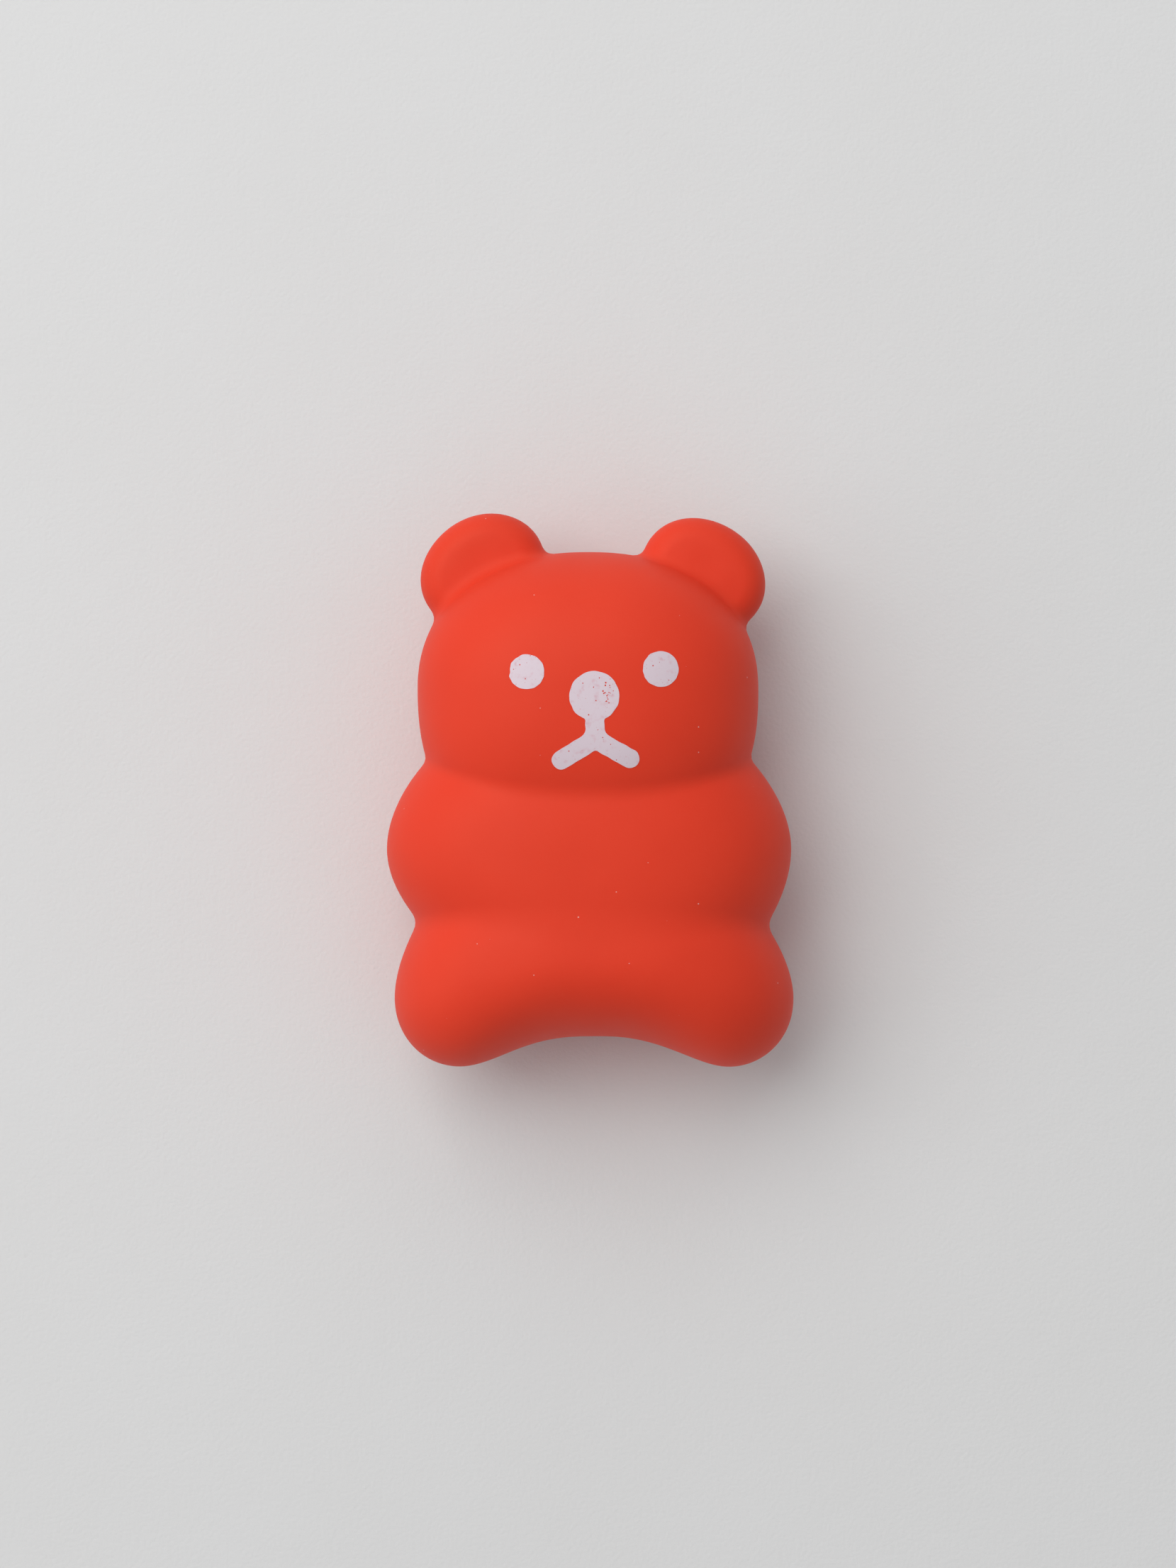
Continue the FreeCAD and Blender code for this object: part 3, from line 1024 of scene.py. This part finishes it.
@dataclass
class FacePrint:
    """The printed eyes, nose and mouth: thin films of ink that follow the head."""

    form: BearForm
    eye_diameter: float = 6.26 * MM
    right_eye_diameter: float = 6.12 * MM
    eye_spacing: float = 23.4 * MM
    eye_rise: float = 4.5 * MM
    nose_diameter: float = 8.7 * MM
    nose_below_head_line: float = 1.56 * MM
    shift: float = 0.6 * MM
    turn: float = math.radians(1.2)
    stroke: float = 3.32 * MM
    mouth_drop: float = 7.5 * MM
    mouth_reach: float = 6.0 * MM
    mouth_slope: float = math.radians(30.5)
    film: float = 0.09 * MM
    proud: float = 0.05 * MM
    cell: float = 0.125 * MM
    edge_wobble: float = 0.035 * MM
    nose_fillet: float = 0.35 * MM  # where the stem leaves the nose
    mouth_fillet: float = 0.8 * MM  # where the stem meets the mouth
    lip_fillet: float = 0.3 * MM  # where the mouth's strokes meet
    eye_wobble_length: float = 1.6 * MM
    nose_wobble_length: float = 1.8 * MM
    fraying: float = 2.4  # how much rougher the right eye's outer edge is
    pinhole_density: float = 0.12  # to each square millimetre
    pinhole_radius: tuple[float, float] = (0.08, 0.13)  # mm, least and greatest
    bubble_radius: tuple[float, float] = (0.08, 0.17)
    bubble_count: int = 17
    bubble_centre: tuple[float, float] = (0.58, 0.12)  # shares of the nose's radius
    bubble_spread: tuple[float, float] = (0.5 * MM, 1.1 * MM)
    crease_angle: float = math.radians(50.0)

    @staticmethod
    def bar(p: np.ndarray, start: tuple, end: tuple, radius: float) -> np.ndarray:
        """Distance to a straight stroke with round ends.

        Args:
            p: Places on the print, one to a row.
            start: Middle of one round end.
            end: Middle of the other.
            radius: Half the stroke's width.

        Returns:
            Distances, negative inside.
        """
        a, along = np.array(start), np.array(end) - np.array(start)
        share = np.clip((p - a) @ along / (along @ along), 0.0, 1.0)
        return np.linalg.norm(p - a - share[:, None] * along, axis=1) - radius

    @staticmethod
    def disc(p: np.ndarray, x: float, y: float, diameter: float) -> np.ndarray:
        """Distance to a printed disc."""
        return np.hypot(p[:, 0] - x, p[:, 1] - y) - diameter / 2

    def eye(self, side: Side) -> Field:
        """The outline of one eye, in the print's own plane."""

        def field(p: np.ndarray) -> np.ndarray:
            """Distance to the eye's outline."""
            x, y = side.value * self.eye_spacing / 2, self.eye_rise
            right = side is Side.RIGHT
            diameter = self.right_eye_diameter if right else self.eye_diameter
            edge = self.disc(p, x, y, diameter)
            rough = self.edge_wobble * ripple(p, self.eye_wobble_length, 11 + side.value)
            if right:
                outer = np.clip((x - p[:, 0]) / (self.eye_diameter / 2), 0.0, 1.0)
                rough = rough * (1 + self.fraying * outer**2)
            return edge + rough

        return field

    def nose_and_mouth(self) -> Field:
        """The outline of the nose, its stem and the mouth, in the print's own plane."""
        end_y = -self.mouth_drop - self.mouth_reach * math.tan(self.mouth_slope)

        def field(p: np.ndarray) -> np.ndarray:
            """Distance to the outline."""
            radius = self.stroke / 2
            stem = self.bar(p, (0, 0), (0, -self.mouth_drop), radius)
            arms = [
                self.bar(p, (0, -self.mouth_drop), (s.value * self.mouth_reach, end_y), radius)
                for s in Side
            ]
            mouth = soft_union(arms[0], arms[1], self.lip_fillet)
            strokes = soft_union(mouth, stem, self.mouth_fillet)
            nose = self.disc(p, 0.0, 0.0, self.nose_diameter)
            whole = soft_union(nose, strokes, self.nose_fillet)
            return whole + self.edge_wobble * ripple(p, self.nose_wobble_length, 21)

        return field

    def pinholes(self, low: np.ndarray, high: np.ndarray, seed: int) -> list[tuple]:
        """Draws the small gaps that air left in the ink.

        Args:
            low: Lowest corner of the print.
            high: Highest corner.
            seed: Picks the places.

        Returns:
            X, Y and radius of each gap.
        """
        draw = np.random.default_rng(seed)
        area = float(np.prod(high - low)) / (MM * MM)
        return [
            (*draw.uniform(low, high), draw.uniform(*self.pinhole_radius) * MM)
            for _ in range(int(area * self.pinhole_density))
        ]

    def nose_bubbles(self) -> list[tuple]:
        """The crowd of gaps towards the nose's left edge: X, Y and radius of each."""
        draw = np.random.default_rng(5)
        centre = np.array(self.bubble_centre) * self.nose_diameter / 2
        return [
            (
                *(centre + draw.normal(0, self.bubble_spread)),
                draw.uniform(*self.bubble_radius) * MM,
            )
            for _ in range(self.bubble_count)
        ]

    def film_object(
        self, name: str, field: Field, low: np.ndarray, high: np.ndarray, gaps: list[tuple]
    ) -> bpy.types.Object:
        """Makes a film of ink over the part of the print where a field is negative.

        Args:
            name: The object's name.
            field: Distance to the outline, in the print's own plane.
            low: Lowest corner of a box that holds it.
            high: Highest corner.
            gaps: X, Y and radius of each pinhole.

        Returns:
            The film.
        """

        def edge(p: np.ndarray) -> np.ndarray:
            """Distance to the outline, pinholes taken out."""
            value = field(p)
            for x, y, radius in gaps:
                value = np.maximum(value, radius - np.hypot(p[:, 0] - x, p[:, 1] - y))
            return value

        counts = np.ceil((high - low) / self.cell).astype(int) + 1
        axes = [low[i] + self.cell * np.arange(counts[i]) for i in range(2)]
        grid = np.stack(np.meshgrid(*axes, indexing="ij"), axis=-1).reshape(-1, 2)
        numbers = np.arange(len(grid)).reshape(counts)
        quads = np.stack(
            [numbers[:-1, :-1], numbers[1:, :-1], numbers[1:, 1:], numbers[:-1, 1:]], axis=-1
        ).reshape(-1, 4)
        middles = grid[quads].mean(axis=1)
        quads = quads[edge(middles) < 0]
        used, flat = np.unique(quads, return_inverse=True)
        quads = flat.reshape(-1, 4)
        spots = grid[used]
        faces_at = np.bincount(quads.ravel(), minlength=len(spots))
        rim = faces_at < 4
        spots[rim] = settle(edge, spots[rim], 0.6 * self.cell, 2)
        cosine, sine = math.cos(self.turn), math.sin(self.turn)
        nose_y = self.form.head_y - self.nose_below_head_line
        x = self.shift + spots[:, 0] * cosine - spots[:, 1] * sine
        y = nose_y + spots[:, 0] * sine + spots[:, 1] * cosine
        xy = np.column_stack([x, y])
        top = self.form.drop_to_front(xy) + self.proud
        obj = mesh_object(name, np.column_stack([xy, top]), quads)
        thick = obj.modifiers.new("film", "SOLIDIFY")
        thick.thickness, thick.offset = self.film, -1.0
        apply_modifiers(obj)
        obj.data.set_sharp_from_angle(angle=self.crease_angle)
        return obj

    def build(self) -> dict[str, bpy.types.Object]:
        """Makes the three prints.

        Returns:
            Each print by the name of the CAD node that it stands for.
        """
        made = {}
        half = self.eye_diameter / 2 + 2 * self.cell
        for side, node, seed in ((Side.LEFT, "left_eye", 31), (Side.RIGHT, "right_eye", 32)):
            centre = np.array([side.value * self.eye_spacing / 2, self.eye_rise])
            low, high = centre - half, centre + half
            gaps = self.pinholes(low, high, seed)
            made[node] = self.film_object(f"Print_{node}", self.eye(side), low, high, gaps)
        drop = self.mouth_drop + self.mouth_reach * math.tan(self.mouth_slope) + self.stroke
        low = np.array([-self.mouth_reach - self.stroke, -drop])
        above = self.nose_diameter / 2 + self.stroke / 4
        high = np.array([self.mouth_reach + self.stroke, above])
        gaps = self.pinholes(low, high, 33) + self.nose_bubbles()
        field = self.nose_and_mouth()
        made["nose_and_mouth"] = self.film_object("Print_nose_and_mouth", field, low, high, gaps)
        return made

    def dress(
        self, made: dict[str, bpy.types.Object], finish: bpy.types.Material, press: Press
    ) -> None:
        """Gives each print its finish and its place in the frame."""
        for node, obj in made.items():
            coat(obj, finish)
            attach(obj, "face")
            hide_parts(node)
            press.squash_print(obj)


@dataclass
class Squeaker:
    """The squeaker in the back, whose pieces keep their exact shapes."""

    plastic_nodes: tuple[str, ...] = ("squeaker_tube", "vent_cap", "tone_block", "reed_wedge")
    edge_round: float = 0.12 * MM
    edge_angle: float = math.radians(50.0)  # edges sharper than this are rounded

    def soften(self, obj: bpy.types.Object) -> None:
        """Rounds a moulded piece's edges a little, inside its own surface."""
        bevel = obj.modifiers.new("moulded_edges", "BEVEL")
        bevel.width, bevel.segments = self.edge_round, 2
        bevel.limit_method, bevel.angle_limit = "ANGLE", self.edge_angle

    def dress(self, plastic: bpy.types.Material, brass: bpy.types.Material) -> None:
        """Gives every piece its finish."""
        for node in self.plastic_nodes:
            obj = frame["nodes"][node]
            self.soften(obj)
            coat(obj, plastic)
        reed = frame["nodes"]["reed"]
        coat(reed, brass)


# ---- Studio ----------------------------------------------------------------------------
@dataclass(frozen=True)
class SoftLight:
    """A square soft light that faces the toy."""

    name: str
    place: tuple[float, float, float]
    size: float
    power: float
    colour: Colour = (1.0, 0.99, 0.98)
    target: tuple[float, float, float] = (0.0, 0.0, 0.02)

    def hang(self) -> None:
        """Hangs the light in the scene."""
        data = bpy.data.lights.new(self.name, "AREA")
        data.size, data.energy, data.color = self.size, self.power, self.colour
        light = bpy.data.objects.new(self.name, data)
        light.location = self.place
        aim = Vector(self.target) - Vector(self.place)
        light.rotation_euler = aim.to_track_quat("-Z", "Y").to_euler()
        bpy.context.scene.collection.objects.link(light)


@dataclass
class Studio:
    """The pale sheet, the window-like light from the upper left, and the camera above."""

    sheet_half: float = 1.6
    camera_height: float = 0.67  # above the toy's mid-plane
    lens: float = 85.0
    camera_x: float = -0.5 * MM
    camera_y: float = 1.0 * MM
    sky: float = 0.40
    sky_colour: Colour = (0.98, 0.99, 1.0)
    clip_start: float = 0.01
    lights: tuple[SoftLight, ...] = (
        SoftLight("Window", (-0.73, 0.73, 1.47), 1.5, 19.0),
        SoftLight("Left_wall", (-1.56, 0.0, 0.9), 1.2, 4.8),
        SoftLight("Top_wall", (0.0, 1.56, 0.9), 1.2, 3.8),
    )

    def lay_sheet(self, finish: bpy.types.Material) -> bpy.types.Object:
        """Lays the sheet under the toy and returns it."""
        h = self.sheet_half
        corners = np.array([(-h, -h, 0.0), (h, -h, 0.0), (h, h, 0.0), (-h, h, 0.0)])
        sheet = mesh_object("Sheet", corners, np.array([[0, 1, 2, 3]]))
        coat(sheet, finish)
        return sheet

    def light(self) -> None:
        """Sets the sky and hangs the soft lights."""
        world = bpy.data.worlds.new("Studio_sky")
        world.use_nodes = True
        background = world.node_tree.nodes["Background"]
        background.inputs["Color"].default_value = (*self.sky_colour, 1.0)
        background.inputs["Strength"].default_value = self.sky
        bpy.context.scene.world = world
        for light in self.lights:
            light.hang()

    def set_camera(self, middle_height: float) -> None:
        """Places the camera straight above the toy, with the head upwards in its picture."""
        data = bpy.data.cameras.new("Camera")
        data.lens, data.clip_start = self.lens, self.clip_start
        camera = bpy.data.objects.new("Camera", data)
        camera.location = (self.camera_x, self.camera_y, middle_height + self.camera_height)
        bpy.context.scene.collection.objects.link(camera)
        bpy.context.scene.camera = camera
        bpy.context.scene.view_settings.view_transform = "Standard"


def main() -> None:
    """Builds the toy and the studio, piece by piece."""
    logging.basicConfig(level=logging.INFO, format="%(name)s: %(message)s")
    effects = Effects()
    low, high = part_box("body_skin")
    form = BearForm(tuple(low), tuple(high))
    press = Press()
    skin = Skin(form)
    skin_object = skin.build()
    skin.dress(skin_object, SoftVinyl().build(effects), press)
    LOG.info("%s: %d faces", skin_object.name, len(skin_object.data.polygons))
    face = FacePrint(form)
    prints = face.build()
    face.dress(prints, PadInk().build(effects), press)
    for obj in prints.values():
        LOG.info("%s: %d faces", obj.name, len(obj.data.polygons))
    squeaker = Squeaker()
    squeaker.dress(MouldedPlastic().build(effects), RolledBrass().build(effects))
    LOG.info("squeaker: %d pieces", len(squeaker.plastic_nodes) + 1)
    studio = Studio()
    studio.lay_sheet(PaperSheet().build(effects))
    studio.light()
    studio.set_camera(form.middle_height)
    LOG.info("studio ready")


if __name__ == "__main__":
    main()
